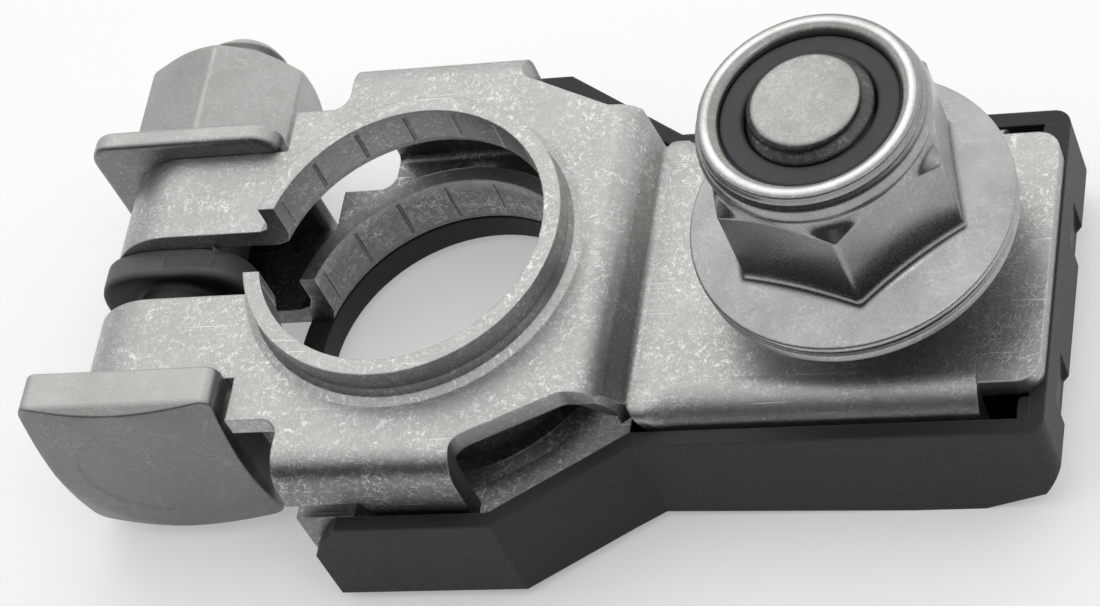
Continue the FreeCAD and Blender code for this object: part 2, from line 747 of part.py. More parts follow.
def tray_plan(name, out, end, offset):
    """The tray's plan with its walls moved outwards, to the given end or just past the splay."""
    sketch = new_sketch(tray, name, "XY_Plane", offset)
    shift = "(%s)*tan(%s/2)" % (out, LEAN)
    corners = [
        ("-{tray_back}" if end else "-{tray_back} - {overcut}", WIDE + " + " + out),
        ("{tray_wide_x} + " + shift, WIDE + " + " + out),
        ("{tray_slim_x} + " + shift, SLIM + " + " + out),
    ]
    if end:
        corners.append((end, SLIM + " + " + out))
    loop(sketch, mirrored_half(corners))
    return sketch


outer = tray_plan("TrayOutline", "{tray_wall}", TRAY_END, TRAY_TOP)
pad(tray, outer, "TrayBlock", "{tray_low_stud} - ({step_drop} + {sheet_thick})", back=True)
rounded(tray, "TrayEndCorners", "{tray_round}", lambda e, b: (
    upright(b, TRAY_END, SLIM + " + {tray_wall}")))
side = new_sketch(tray, "UndersideProfile", "XZ_Plane")
LOW = "-{tray_low}"
LOWEST = "-{tray_low_stud}"
loop(side, [
    ("-{tray_back} - {overcut}", LOW),
    ("{tray_low_from}", LOW),
    ("{tray_low_at}", LOWEST),
    ("{tray_low_to}", LOWEST),
    (TRAY_END + " - {tray_heel_x}", LOWEST + " + {tray_heel_up}"),
    (TRAY_END, LOWEST + " + {tray_end_up}"),
    (TRAY_END + " + {overcut}", LOWEST + " + {tray_end_up}"),
    (TRAY_END + " + {overcut}", LOWEST + " - {overcut}"),
    ("-{tray_back} - {overcut}", LOWEST + " - {overcut}"),
])
pocket(tray, side, "Underside", "3*{skirt_half}", both=True)

# Hollow: level under the lower plate, then following the underside to the end wall
FLOOR = LOW + " + {tray_floor}"
level = tray_plan("LevelHollowOutline", "0", None, TRAY_TOP)
pocket(tray, level, "LevelHollow", "{tray_low} - {tray_floor} - {step_drop} - {sheet_thick}")
slope = new_sketch(tray, "SlopedHollowProfile", "XZ_Plane")
END_IN = TRAY_END + " - {tray_wall}"
loop(slope, [
    ("{tray_low_from}", TRAY_TOP + " + {overcut}"),
    ("{tray_low_from}", FLOOR),
    ("{tray_low_at}", LOWEST + " + {tray_floor}"),
    ("{tray_low_to}", LOWEST + " + {tray_floor}"),
    (END_IN, LOWEST + " + {tray_end_up}"),
    (END_IN, TRAY_TOP + " + {overcut}"),
])
pocket(tray, slope, "SlopedHollow", "2*(%s)" % SLIM, both=True)
side = new_sketch(tray, "NoseProfile", "XZ_Plane")
loop(side, [
    ("-{tray_back} - {overcut}", TRAY_TOP + " + {overcut}"),
    ("-{tray_back} + {tray_nose_x} + {tray_nose_x}/{tray_nose_z}", TRAY_TOP + " + {overcut}"),
    ("-{tray_back} - {overcut}", TRAY_TOP + " - {tray_nose_z} - {tray_nose_z}/{tray_nose_x}"),
])
pocket(tray, side, "Nose", "3*{skirt_half}", both=True)

# Round seat for the lower plate, open for the battery post
rim = new_sketch(tray, "PostRimOutline", "XY_Plane", FLOOR_LOW)
ring(rim, "0", "0", "{tray_hole} + {tray_rim}")
pad(tray, rim, "PostRim", "{tray_low} - {plate_rise} - {sheet_thick}", back=True)
hole = new_sketch(tray, "PostOpening", "XY_Plane", FLOOR_LOW + " + {overcut}")
ring(hole, "0", "0", "{tray_hole}")
pocket(tray, hole, "PostOpened", "{tray_low} - {plate_rise} + 2*{overcut}")

# Socket that keeps the stud's square head from turning
HEAD_LOW = TONGUE_LOW + " - {stud_head_thick}"
SOCKET = "({stud_head}/2 + {socket_play} + {socket_wall})"
POCKET = "({stud_head}/2 + {socket_play})"
block = new_sketch(tray, "SocketOutline", "XY_Plane", HEAD_LOW + " + {stud_head_thick}/2")
loop(block, box_corners("{stud_x} - " + SOCKET, "{stud_x} + " + SOCKET, "-" + SOCKET, SOCKET))
pad(tray, block, "SocketBlock",
    "{tray_low_stud} - {tray_wall}/2 - {step_drop} - {sheet_thick} - {stud_head_thick}/2", back=True)
block = new_sketch(tray, "SocketHollow", "XY_Plane", HEAD_LOW + " + {stud_head_thick}")
loop(block, box_corners("{stud_x} - " + POCKET, "{stud_x} + " + POCKET, "-" + POCKET, POCKET))
pocket(tray, block, "SocketOpened", "{stud_head_thick}")

# Two notches that deepen towards the foot of the end wall
END_LOW = LOWEST + " + {tray_end_up}"
for which, middle, wide in (("Back", "-{notch_back}", "{notch_back_wide}"),
                            ("Front", "{notch_front}", "{notch_front_wide}")):
    side = new_sketch(tray, which + "NotchProfile", "XZ_Plane", middle)
    loop(side, [
        (TRAY_END, END_LOW + " + {notch_high}"),
        (TRAY_END + " - {notch_in}", END_LOW),
        (TRAY_END + " - {notch_in}", END_LOW + " - {overcut}"),
        (TRAY_END + " + {overcut}", END_LOW + " - {overcut}"),
        (TRAY_END + " + {overcut}", END_LOW + " + {notch_high}"),
    ])
    pocket(tray, side, which + "Notch", wide, both=True)

# Every feature sound, every sub-part one solid, then the files
for feature in doc.Objects:
    if "Invalid" in feature.State or "Error" in feature.State:
        raise RuntimeError("%s failed: %s" % (feature.Name, feature.State))
for body in (clamp, bolt, plate, clamp_nut, spacer, stud, nut, insert, washer, tray):
    shape = body.Shape
    if shape.isNull() or not shape.isValid() or len(shape.Solids) != 1:
        raise RuntimeError(body.Label + " is not one sound solid")
    shape.exportStep("parts/%s.step" % body.Label)
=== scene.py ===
"""Battery terminal clamp: plated finishes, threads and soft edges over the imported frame.

Every length is in metres, in the frame's own axes: +X from the post bore to the cable
stud, +Y towards the clamp nut, +Z up along the post.
"""
import math

import bpy
import numpy as np
from bpy.props import FloatProperty, FloatVectorProperty, PointerProperty
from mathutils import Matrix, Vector


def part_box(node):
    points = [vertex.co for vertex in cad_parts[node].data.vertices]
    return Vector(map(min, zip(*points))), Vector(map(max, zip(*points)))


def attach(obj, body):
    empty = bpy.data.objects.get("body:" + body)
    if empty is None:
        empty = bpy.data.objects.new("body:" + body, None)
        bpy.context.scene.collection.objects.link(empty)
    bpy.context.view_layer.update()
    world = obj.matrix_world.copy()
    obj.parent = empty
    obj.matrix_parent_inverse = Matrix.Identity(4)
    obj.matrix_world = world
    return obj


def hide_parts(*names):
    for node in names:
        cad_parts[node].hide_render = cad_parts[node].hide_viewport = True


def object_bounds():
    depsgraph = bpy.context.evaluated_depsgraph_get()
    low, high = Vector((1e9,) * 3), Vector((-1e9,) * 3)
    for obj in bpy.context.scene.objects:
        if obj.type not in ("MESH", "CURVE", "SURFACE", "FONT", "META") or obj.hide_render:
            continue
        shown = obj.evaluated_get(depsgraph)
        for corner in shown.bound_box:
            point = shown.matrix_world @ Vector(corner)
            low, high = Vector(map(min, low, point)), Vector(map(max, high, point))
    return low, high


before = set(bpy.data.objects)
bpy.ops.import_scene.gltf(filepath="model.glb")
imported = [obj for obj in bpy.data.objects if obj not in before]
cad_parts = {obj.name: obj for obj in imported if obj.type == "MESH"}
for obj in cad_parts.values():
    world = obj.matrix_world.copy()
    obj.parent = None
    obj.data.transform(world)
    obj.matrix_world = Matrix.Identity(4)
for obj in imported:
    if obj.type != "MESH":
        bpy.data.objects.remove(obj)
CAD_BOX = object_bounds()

bl_info = {
    "name": "Battery terminal clamp",
    "version": (1, 0, 0),
    "blender": (4, 5, 0),
    "location": "3D View > Sidebar > Clamp",
    "description": "Builds the clamp's bolts, nuts and washers and finishes every surface",
    "category": "Mesh",
}

MM = 0.001
X_AXIS, Y_AXIS, Z_AXIS = 0, 1, 2
# The two axes across the clamp bolt, and the two across the cable stud.
BOLT_PLANE, STUD_PLANE = (X_AXIS, Z_AXIS), (X_AXIS, Y_AXIS)
# Half of what one flat of a nut takes up of a full turn.
HALF_HEXAGON = math.radians(30)
# Slope of the chamfer on the corners of both nuts.
NUT_SLOPE = math.radians(30)
# Points on a rounded corner's curve, and the rows of a corner with the point on each side.
CURVE_STEPS = 5
ROWS_A_CORNER = CURVE_STEPS + 2


def length(label, description, millimetres):
    """A length property, shown in the scene's own unit."""
    return FloatProperty(
        name=label, description=description, default=millimetres * MM, unit="LENGTH", precision=5)


def angle(label, description, degrees):
    """An angle property, shown in the scene's own unit."""
    return FloatProperty(
        name=label, description=description, default=math.radians(degrees), subtype="ANGLE")


def colour(label, description, grey):
    """A linear colour property without alpha."""
    return FloatVectorProperty(
        name=label, description=description, default=grey, subtype="COLOR", size=3, min=0, max=1)


class ClampSizes(bpy.types.PropertyGroup):
    """Sizes that the frame's boxes don't give."""

    bolt_radius: length("Bolt radius", "Outside radius of the clamp bolt's thread", 3.0)
    bolt_pitch: length("Bolt pitch", "Thread pitch of the clamp bolt", 1.0)
    bolt_head: length("Bolt head", "Thickness of the square head", 3.6)
    head_slope: angle("Head slope", "Slope of the head's bevel", 18)
    stud_radius: length("Stud radius", "Outside radius of the cable stud's thread", 4.0)
    stud_pitch: length("Stud pitch", "Thread pitch of the cable stud", 1.25)
    stud_head: length("Stud head", "Thickness of the cable stud's square head", 4.8)
    clamp_flats: length("Clamp nut flats", "Width across the clamp nut's flats", 11.0)
    clamp_turn: angle("Clamp nut turn", "How far the clamp nut is turned round its bolt", 23.9)
    stud_flats: length("Stud nut flats", "Width across the stud nut's flats", 13.6)
    stud_turn: angle("Stud nut turn", "How far the stud nut is turned round its stud", 42.3)
    flange_edge: length("Flange edge", "Height of the stud nut's flange at its rim", 0.4)
    flange_root: length("Flange root", "Height of that flange at the nut's corners", 1.25)
    sheet: length("Sheet", "Thickness of the folded sheet", 1.5)
    bend_from: length("Bend from", "Where the tongue's bends begin, at the foot of the step", 14.75)
    bend_to: length("Bend to", "Where the tongue's bends end", 36.82)
    bend_start: length("Bend start", "Half width of the tongue's flat top", 7.9)
    bend_radius: length("Bend radius", "Outer radius of the tongue's bends", 2.43)
    tongue_top: length("Tongue top", "Height of the tongue's upper face", -3.47)
    washer_bore: length("Washer bore", "Bore radius of the contact washer", 4.7)
    washer_hub: length("Washer hub", "Radius of the contact washer's raised hub", 7.2)
    washer_step: length("Washer step", "Height of the contact washer's hub", 0.4)


class ClampColours(bpy.types.PropertyGroup):
    """Colours of the finishes."""

    plating: colour("Plating", "Frosted plating on sheet and bolts", (0.45, 0.447, 0.435))
    fleck: colour("Flecks", "Bright flecks in the plating", (0.85, 0.85, 0.83))
    dull: colour("Dull plating", "Darker plating in hollows and on cut edges", (0.22, 0.215, 0.20))
    # Painted shade: this colour darkens the sheet's lower parts, the skirts' outer faces and the front
    # faces of the bolt head and square washer.
    wear_and_painted_shade: colour("Worn plating", "Duller skirts and front faces of bolt head and square washer",
                 (0.21, 0.208, 0.20))
    # Painted shade: near-black on the cable stud's tip cone and first turns of thread.
    thread: colour("Thread", "Dark cone at the cable stud's tip", (0.04, 0.04, 0.04))
    # Painted shade on the stud nut's flats and collar above its flange.
    flank_painted_shade: colour("Flanks", "Flats and collar of the stud nut, above its flange",
                  (0.37, 0.368, 0.36))
    lip: colour("Lip", "Crimped lip of the stud nut's collar", (0.30, 0.30, 0.29))
    # Painted highlight: the bright ring on the crest of the stud nut's lip.
    crest: colour("Crest", "Crest of the lip, rubbed bright", (0.78, 0.78, 0.77))
    nut: colour("Stud nut", "Smoother plating of the flange nut", (0.47, 0.468, 0.46))
    insert: colour("Insert", "Locking ring inside the stud nut", (0.042, 0.044, 0.045))
    plastic: colour("Plastic", "Moulded tray", (0.018, 0.018, 0.0185))
    spacer: colour("Spacer", "Moulded spacer between the ears", (0.090, 0.090, 0.091))
    # Painted shade: near-black on the spacer's front side and its sleeve, deep between the ears.
    deep: colour("Spacer front", "The spacer's side deep between the ears", (0.008, 0.008, 0.008))
    floor: colour("Floor", "Pale floor", (0.68, 0.68, 0.68))


def polygon_radius(angles, sides, flat, corner):
    """How far a rounded regular polygon reaches at each angle.

    Over a flat it is the flat's distance over the cosine of the angle from its middle. Past
    the flat's end it is where the ray leaves the corner's arc: the arc centre's distance along
    the ray, plus the root of the corner's radius squared less that centre's distance across.
    """
    half = math.pi / sides
    local = np.abs((angles + half) % (2 * half) - half)
    straight = (flat - corner) * math.tan(half)
    reach = (flat - corner) / math.cos(half)
    along = reach * np.cos(half - local)
    across = reach * np.sin(half - local)
    arc = along + np.sqrt(np.maximum(corner ** 2 - across ** 2, 0))
    return np.where(local <= math.atan2(straight, flat), flat / np.cos(local), arc)


def polygon_angles(sides, flat, corner, turn=0.0, flat_steps=10, corner_steps=6):
    """Angles round the axis, close together at a polygon's corners and at its flats' ends."""
    half = math.pi / sides
    straight = (flat - corner) * math.tan(half)
    rise = straight * np.sin(np.linspace(0, math.pi / 2, flat_steps))
    side = np.arctan2(rise, flat)
    swing = np.linspace(0, half, corner_steps + 1)[1:]
    bend = np.arctan2(straight + corner * np.sin(swing), flat - corner + corner * np.cos(swing))
    one = np.concatenate([side, bend])
    sector = np.concatenate([-one[:0:-1], one[:-1]])
    every = sector[None, :] + 2 * half * np.arange(sides)[:, None] + turn
    return every.ravel()


def polygon(sides, flat, corner, turn=0.0, flat_steps=10, corner_steps=6):
    """Angles round a rounded regular polygon turned by an angle, and how far it reaches there."""
    angles = polygon_angles(sides, flat, corner, turn, flat_steps, corner_steps)
    return angles, polygon_radius(angles - turn, sides, flat, corner)


def round_angles(count):
    """Even angles once round an axis."""
    return np.linspace(0, 2 * math.pi, count, endpoint=False)


def rounded_reach(across, up, wide, tall, power):
    """How far a superellipse reaches in the direction (across, up).

    It is one over the root, of the given power, of the sum of across over wide and up over
    tall, each to that power.
    """
    return (np.abs(across / wide) ** power + np.abs(up / tall) ** power) ** (-1 / power)


def rise(value, start, run):
    """How far a value has gone from a start over a run, held between nought and one."""
    return np.clip((value - start) / run, 0, 1)


def section(angles, corners, rounds, ring):
    """Sections with every corner rounded, as an array of angle, point, (radius, height).

    A corner's radius and height are each one number or one for every angle, and the rounds are
    in millimetres. Each corner becomes a quadratic curve between two points set back along its
    sides, with a point just before and after it that keeps the flats flat. In an open section
    the first and last corners stay as they are.
    """
    corners = np.stack([
        np.stack(np.broadcast_arrays(r, z, angles)[:2], -1) for r, z in corners], 1)
    rounds = np.asarray(rounds, float) * MM
    before = np.roll(corners, 1, 1) - corners
    after = np.roll(corners, -1, 1) - corners
    long_before = np.linalg.norm(before, axis=-1, keepdims=True)
    long_after = np.linalg.norm(after, axis=-1, keepdims=True)
    most = 0.40 * np.minimum(long_before, long_after)
    setback = np.minimum(rounds[None, :, None], most)
    start = corners + before / long_before * setback
    end = corners + after / long_after * setback
    guard = 0.2
    share = np.linspace(0, 1, CURVE_STEPS)[None, None, :, None]
    curve = ((1 - share) ** 2 * start[:, :, None] + 2 * share * (1 - share) * corners[:, :, None]
             + share ** 2 * end[:, :, None])
    lead = start + before / long_before * setback * guard
    trail = end + after / long_after * setback * guard
    rows = np.concatenate([lead[:, :, None], curve, trail[:, :, None]], 2)
    if ring:
        return rows.reshape(len(corners), -1, 2)
    inner = rows[:, 1:-1].reshape(len(corners), -1, 2)
    return np.concatenate([corners[:, :1], inner, corners[:, -1:]], 1)


def spun(angles, rows, origin=(0, 0, 0), along="Z"):
    """Points of a section carried round an axis through origin, along +Z or +Y."""
    flat_x = rows[..., 0] * np.cos(angles)[:, None]
    flat_y = rows[..., 0] * np.sin(angles)[:, None]
    height = rows[..., 1]
    if along == "Y":
        points = np.stack([flat_x, height, -flat_y], -1)
    else:
        points = np.stack([flat_x, flat_y, height], -1)
    return points + np.asarray(origin, float)


def closed_mesh(name, points, ring):
    """A closed mesh from points in rows round the axis, its faces turned outwards.

    Each face joins four neighbours on the grid. An open section's two ends are single points
    with a fan of triangles. The signed volume, summed over the faces, says which way they turn.
    """
    columns, rows = points.shape[:2]
    if ring:
        spots = points.reshape(-1, 3)
        number = np.arange(columns * rows).reshape(columns, rows)
        far = np.roll(number, -1, 1)
        quads = np.stack([number, far, np.roll(far, -1, 0), np.roll(number, -1, 0)], -1)
        fans = np.zeros((0, 3), int)
    else:
        spots = np.concatenate([points[:, 1:-1].reshape(-1, 3), points[:1, 0], points[:1, -1]])
        number = np.arange(columns * (rows - 2)).reshape(columns, rows - 2)
        near, far = number[:, :-1], number[:, 1:]
        quads = np.stack([near, far, np.roll(far, -1, 0), np.roll(near, -1, 0)], -1)
        first, last = number[:, 0], number[:, -1]
        low, high = len(spots) - 2, len(spots) - 1
        fans = np.concatenate([
            np.stack([np.full(columns, low), first, np.roll(first, -1)], -1),
            np.stack([last, np.full(columns, high), np.roll(last, -1)], -1)])
    quads = quads.reshape(-1, 4)
    triangles = np.concatenate([quads[:, [0, 1, 2]], quads[:, [0, 2, 3]], fans])
    a, b, c = (spots[triangles[:, k]] for k in range(3))
    if np.einsum("ij,ij->", a, np.cross(b, c)) < 0:
        quads, fans = quads[:, ::-1], fans[:, ::-1]
    mesh = bpy.data.meshes.new(name)
    mesh.from_pydata(spots.tolist(), [], quads.tolist() + fans.tolist())
    mesh.polygons.foreach_set("use_smooth", np.ones(len(mesh.polygons), bool))
    mesh.update()
    return mesh


def bend_mesh(name, sizes, side):
    """The outer face of one bent-down edge, as a grid along the tongue and down round the bend.

    Across, a point's path runs out over the flat tongue, a quarter turn round the bend and
    straight down. By the step the flat is wider and the bend tighter, and the path's full
    length is cut short along a straight slant. Its inner rim is sunk a little into the tongue,
    and more over its last stretch, so that no flap stands out there.
    """
    near_end, far_end, points_across = 0.12, 0.98, 36
    along = sizes.bend_from + (sizes.bend_to - sizes.bend_from) * np.concatenate([
        np.linspace(0, near_end, 14)[:-1], np.linspace(near_end, far_end, 20)[:-1],
        np.linspace(far_end, 1, 4)])
    least_flat, wider, straight, shortest = 0.4 * MM, 1.55 * MM, 1.57 * MM, 2.0 * MM
    foot = rise(along, sizes.bend_from + 1.2 * MM, 1.8 * MM)
    flat = (least_flat + wider * (1 - foot) ** 2)[:, None]
    radius = least_flat + sizes.bend_radius - flat
    full = (flat + radius * math.pi / 2)[:, 0] + sizes.bend_radius + straight - radius[:, 0]
    cut = rise(along, sizes.bend_from, 2.2 * MM)
    path = (shortest + (full - shortest) * cut)[:, None] * np.linspace(0, 1, points_across)
    turn = np.clip((path - flat) / radius, 0, math.pi / 2)
    lower = np.maximum(path - flat - radius * math.pi / 2, 0)
    ended = rise(along, sizes.bend_to - 1.2 * MM, 1.0 * MM)[:, None]
    sunk, sunk_end = 0.05 * MM, 0.10 * MM
    sunk = np.maximum(sunk * np.clip(1 - path / (0.4 * MM), 0, 1),
                      sunk_end * ended * np.clip(2 - path / (0.65 * MM), 0, 1))
    out = sizes.bend_start + np.minimum(path, flat) + radius * np.sin(turn)
    height = sizes.tongue_top - sunk - radius * (1 - np.cos(turn)) - lower
    points = np.stack([np.broadcast_to(along[:, None], out.shape), side * out, height], -1)
    number = np.arange(out.size).reshape(out.shape)
    quads = np.stack([number[:-1, :-1], number[1:, :-1], number[1:, 1:], number[:-1, 1:]], -1)
    quads = quads.reshape(-1, 4)[:, ::side]
    mesh = bpy.data.meshes.new(name)
    mesh.from_pydata(points.reshape(-1, 3).tolist(), [], quads.tolist())
    mesh.polygons.foreach_set("use_smooth", np.ones(len(mesh.polygons), bool))
    mesh.update()
    return mesh


def add_piece(name, mesh, body, slot, material, *stands_for):
    """Put a finished mesh on its body, in place of its plain solid. The slot is not used."""
    piece = bpy.data.objects.new(name, mesh)
    bpy.context.scene.collection.objects.link(piece)
    mesh.materials.append(material)
    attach(piece, body)
    if stands_for:
        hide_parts(*stands_for)
    return piece


def finish_node(name, material):
    """Give a solid of the frame its finish; its mesh stays as it is."""
    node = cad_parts[name]
    node.data.materials.clear()
    node.data.materials.append(material)


def thread(angles, low, high, radius, pitch):
    """Rows of a right-handed outside thread between two heights.

    The radius is the crest less a depth of 0.55 pitches times a groove wave. The wave is a
    triangle of the height in pitches less the turn, clipped to flat crests and roots, and it
    fades in over the first pitch.
    """
    depth, rows_a_pitch, steepness, crest_width = 0.55 * pitch, 12, 1.15, 0.10
    height = np.linspace(low, high, int((high - low) / pitch * rows_a_pitch))
    phase = (height[None, :] / pitch - angles[:, None] / (2 * math.pi)) % 1
    groove = np.clip(steepness * (1 - np.abs(2 * phase - 1)) - crest_width, 0, 1)
    reach = radius - depth * groove * rise(height, low, pitch)[None, :]
    return np.stack([reach, np.broadcast_to(height, reach.shape)], -1)


def chamfered(rows, tip, end):
    """Thread rows cut back near the end by a 45 degree cone that leaves the tip's radius."""
    rows = rows.copy()
    rows[..., 0] = np.minimum(rows[..., 0], tip + end - rows[..., 1])
    return rows


def joined(*parts):
    """Sections at the same angles, one after the other."""
    return np.concatenate(parts, 1)


def raise_top(points, x, z):
    """The top of the spacer, round the bolt axis at (x, z), with its recess and torn nib.

    The recess is a depth times four ramps, two across and two along the bolt. The nib is a
    tent across, whose middle wavers by a sine along the bolt, times the sum of a low ridge, a
    tall peak and a small one, with a ramp at each end. Lengths here are in millimetres, and
    the points are changed in place.
    """
    top_from, recess_depth, ridge, tall_peak, small_peak = 3.0, 0.16, 0.14, 0.55, 0.16
    across, along = (points[..., 0] - x) / MM, points[..., 1] / MM
    on_top = (points[..., 2] - z) / MM > top_from
    recess = (rise(across, -0.5, 0.14) * rise(-across, -2.8, 0.14)
              * rise(along, 1.00, 0.25) * rise(-along, -2.10, 0.12))
    middle = 3.0 + 0.14 * np.sin(3.4 * along)
    tent = np.clip(1.3 - np.abs(across - middle) / 0.2, 0, 1)
    height = (ridge + tall_peak * rise(-np.abs(along - 2.2), -0.3, 0.3)
              + small_peak * rise(-np.abs(along - 1.14), -0.15, 0.15))
    nib = tent * height * rise(along, 1.0, 0.1) * rise(-along, -2.4, 0.1)
    points[..., 2] += on_top * (nib - recess_depth * recess) * MM


def group(name, inputs, outputs):
    """A new shader group with its sockets, each given as name, type and default."""
    tree = bpy.data.node_groups.new(name, "ShaderNodeTree")
    for label, kind, value in inputs:
        socket = tree.interface.new_socket(label, in_out="INPUT", socket_type="NodeSocket" + kind)
        if value is not None:
            socket.default_value = value
    for label, kind in outputs:
        tree.interface.new_socket(label, in_out="OUTPUT", socket_type="NodeSocket" + kind)
    return tree, tree.nodes.new("NodeGroupInput"), tree.nodes.new("NodeGroupOutput")


def feed(tree, socket, value):
    """Link a socket to an output, or set it to a plain value."""
    if isinstance(value, bpy.types.NodeSocket):
        tree.links.new(value, socket)
    else:
        socket.default_value = value


def put(tree, kind, settings=None, **values):
    """A node of the tree, its inputs fed by name, or as i0, i1 and so on by their number."""
    node = tree.nodes.new("ShaderNode" + kind)
    for key, value in (settings or {}).items():
        setattr(node, key, value)
    for key, value in values.items():
        numbered = key[0] == "i" and key[1:].isdigit()
        feed(tree, node.inputs[int(key[1:]) if numbered else key.replace("_", " ")], value)
    return node


def maths(tree, operation, a, b=0.0):
    """One arithmetic step on two values."""
    return put(tree, "Math", {"operation": operation}, i0=a, i1=b).outputs[0]


def ramp(tree, value, low, high, out_low=0.0, out_high=1.0):
    """A value carried from one span to another and held inside it."""
    node = put(tree, "MapRange", {"clamp": True}, i0=value, i1=low, i2=high, i3=out_low, i4=out_high)
    return node.outputs[0]


def blend(tree, share, first, second):
    """Two colours mixed, nought for the first and one for the second."""
    return put(tree, "Mix", {"data_type": "RGBA"}, i0=share, i6=first, i7=second).outputs[2]


def noise(tree, place, scale, detail=4.0, rough=0.5, twist=0.0):
    """The value of a noise at a place, between nought and one."""
    return put(tree, "TexNoise", Vector=place, Scale=scale, Detail=detail, Roughness=rough,
               Distortion=twist).outputs[0]


def curls(tree, place, scale, width, gap_scale, gap_low, gap_high):
    """Short curled strokes: where a twisted noise crosses its middle, broken up by another."""
    middle, full_share = 0.5, 0.35
    level = maths(tree, "ABSOLUTE", maths(
        tree, "SUBTRACT", noise(tree, place, scale, 2.0, 0.45, 0.9), middle))
    line = ramp(tree, level, width, full_share * width)
    return maths(tree, "MULTIPLY", line, ramp(
        tree, noise(tree, place, gap_scale, 2.0, 0.5), gap_low, gap_high))


def scratches(tree, place, turn, scale, low, high):
    """Long thin scratches: a noise drawn out along one turned axis and cut near its peaks."""
    drawn = put(tree, "Mapping", Vector=place, Rotation=turn, Scale=scale)
    return ramp(tree, noise(tree, drawn.outputs[0], 1.0, 1.0, 0.4, 0.3), low, high)


def make_frost():
    """Frosted plating: curled bright flecks in patches, rare scratches, grain and clouds.

    Flecks are short curled strokes of three sizes joined by small round spots, and a slower
    noise thins them out between patches. Scratches are far longer and rarer.
    """
    tree, enter, leave = group(
        "Frosted plating",
        [("Place", "Vector", None), ("Flecks", "Float", 1.0), ("Scratches", "Float", 1.0),
         ("Relief", "Float", 1.0), ("Base normal", "Vector", None)],
        [("Flecks", "Float"), ("Clouds", "Float"), ("Grain", "Float"), ("Normal", "Vector")])
    place = enter.outputs["Place"]
    tiny_strength, grain_height, mark_height, dent_height = 0.7, 0.35, 0.6, 1.2
    large = curls(tree, place, scale=900.0, width=0.028, gap_scale=1500.0, gap_low=0.50, gap_high=0.60)
    small = curls(tree, place, scale=1700.0, width=0.040, gap_scale=2600.0, gap_low=0.50, gap_high=0.60)
    tiny = curls(tree, place, scale=3100.0, width=0.050, gap_scale=2100.0, gap_low=0.47, gap_high=0.58)
    strokes = maths(tree, "MAXIMUM", maths(tree, "MAXIMUM", large, small),
                    maths(tree, "MULTIPLY", tiny, tiny_strength))
    spots = ramp(tree, noise(tree, place, 3300.0, 2.0, 0.5), 0.64, 0.72, 0.0, 0.8)
    patches = ramp(tree, noise(tree, place, 330.0, 3.0), 0.36, 0.64, 0.25, 1.0)
    flecks = maths(tree, "MULTIPLY", maths(tree, "MAXIMUM", strokes, spots), patches)
    flecks = maths(tree, "MULTIPLY", flecks, enter.outputs["Flecks"])
    lines = maths(tree, "MAXIMUM",
                  scratches(tree, place, (0.05, 0.1, 0.9), (150, 7600, 5200), 0.74, 0.79),
                  scratches(tree, place, (0.1, -0.1, 2.3), (170, 8400, 5600), 0.74, 0.79))
    lines = maths(tree, "MULTIPLY", lines, enter.outputs["Scratches"])
    marks = maths(tree, "MAXIMUM", flecks, lines)
    grain = ramp(tree, noise(tree, place, 7800.0, 3.0, 0.6), 0.30, 0.70)
    clouds = ramp(tree, noise(tree, place, 210.0, 4.0, 0.6), 0.30, 0.70)
    dents = noise(tree, place, 1100.0, 3.0, 0.5)
    height = maths(tree, "ADD", maths(tree, "MULTIPLY", grain, grain_height),
                   maths(tree, "MULTIPLY", marks, mark_height))
    height = maths(tree, "ADD", height, maths(tree, "MULTIPLY", dents, dent_height))
    bump = put(tree, "Bump", Strength=enter.outputs["Relief"], Distance=0.010 * MM,
               Height=height, Normal=enter.outputs["Base normal"])
    for value, label in ((marks, "Flecks"), (clouds, "Clouds"), (grain, "Grain")):
        tree.links.new(value, leave.inputs[label])
    tree.links.new(bump.outputs[0], leave.inputs["Normal"])


def make_soft_edges():
    """Worn edges: the normal of a slightly rounded solid, and a mask where it turns away."""
    tree, enter, leave = group(
        "Soft edges", [("Radius", "Float", 0.15 * MM)], [("Normal", "Vector"), ("Edge", "Float")])
    soft = put(tree, "Bevel", {"samples": 6}, Radius=enter.outputs["Radius"])
    true = put(tree, "NewGeometry")
    turn = put(tree, "VectorMath", {"operation": "DOT_PRODUCT"}, i0=soft.outputs[0],
               i1=true.outputs["Normal"])
    still_flat, fully_worn = 0.99, 0.80
    edge = ramp(tree, turn.outputs["Value"], still_flat, fully_worn)
    tree.links.new(soft.outputs[0], leave.inputs["Normal"])
    tree.links.new(edge, leave.inputs["Edge"])


def use_group(tree, name, **values):
    """A shader group placed in a material, with that material's own values."""
    return put(tree, "Group", {"node_tree": bpy.data.node_groups[name]}, **values)


def start_material(name):
    """A new material, its tree and its main shader."""
    material = bpy.data.materials.new(name)
    material.use_nodes = True
    tree = material.node_tree
    return material, tree, tree.nodes["Principled BSDF"]


def opaque(values):
    """A colour with full alpha."""
    return (*values, 1.0)


def banded(tree, place, tone, bands):
    """The tone, mixed past each band's edge on one axis with the band's own colour.

    A band is its axis, where it starts, where it is full, and its colour.
    """
    axes = put(tree, "SeparateXYZ", i0=place).outputs
    for axis, start, full, tint in bands:
        low, high = sorted((start, full))
        share = ramp(tree, axes[axis], low, high, *((0.0, 1.0) if full > start else (1.0, 0.0)))
        tone = blend(tree, share, tone, opaque(tint))
    return tone


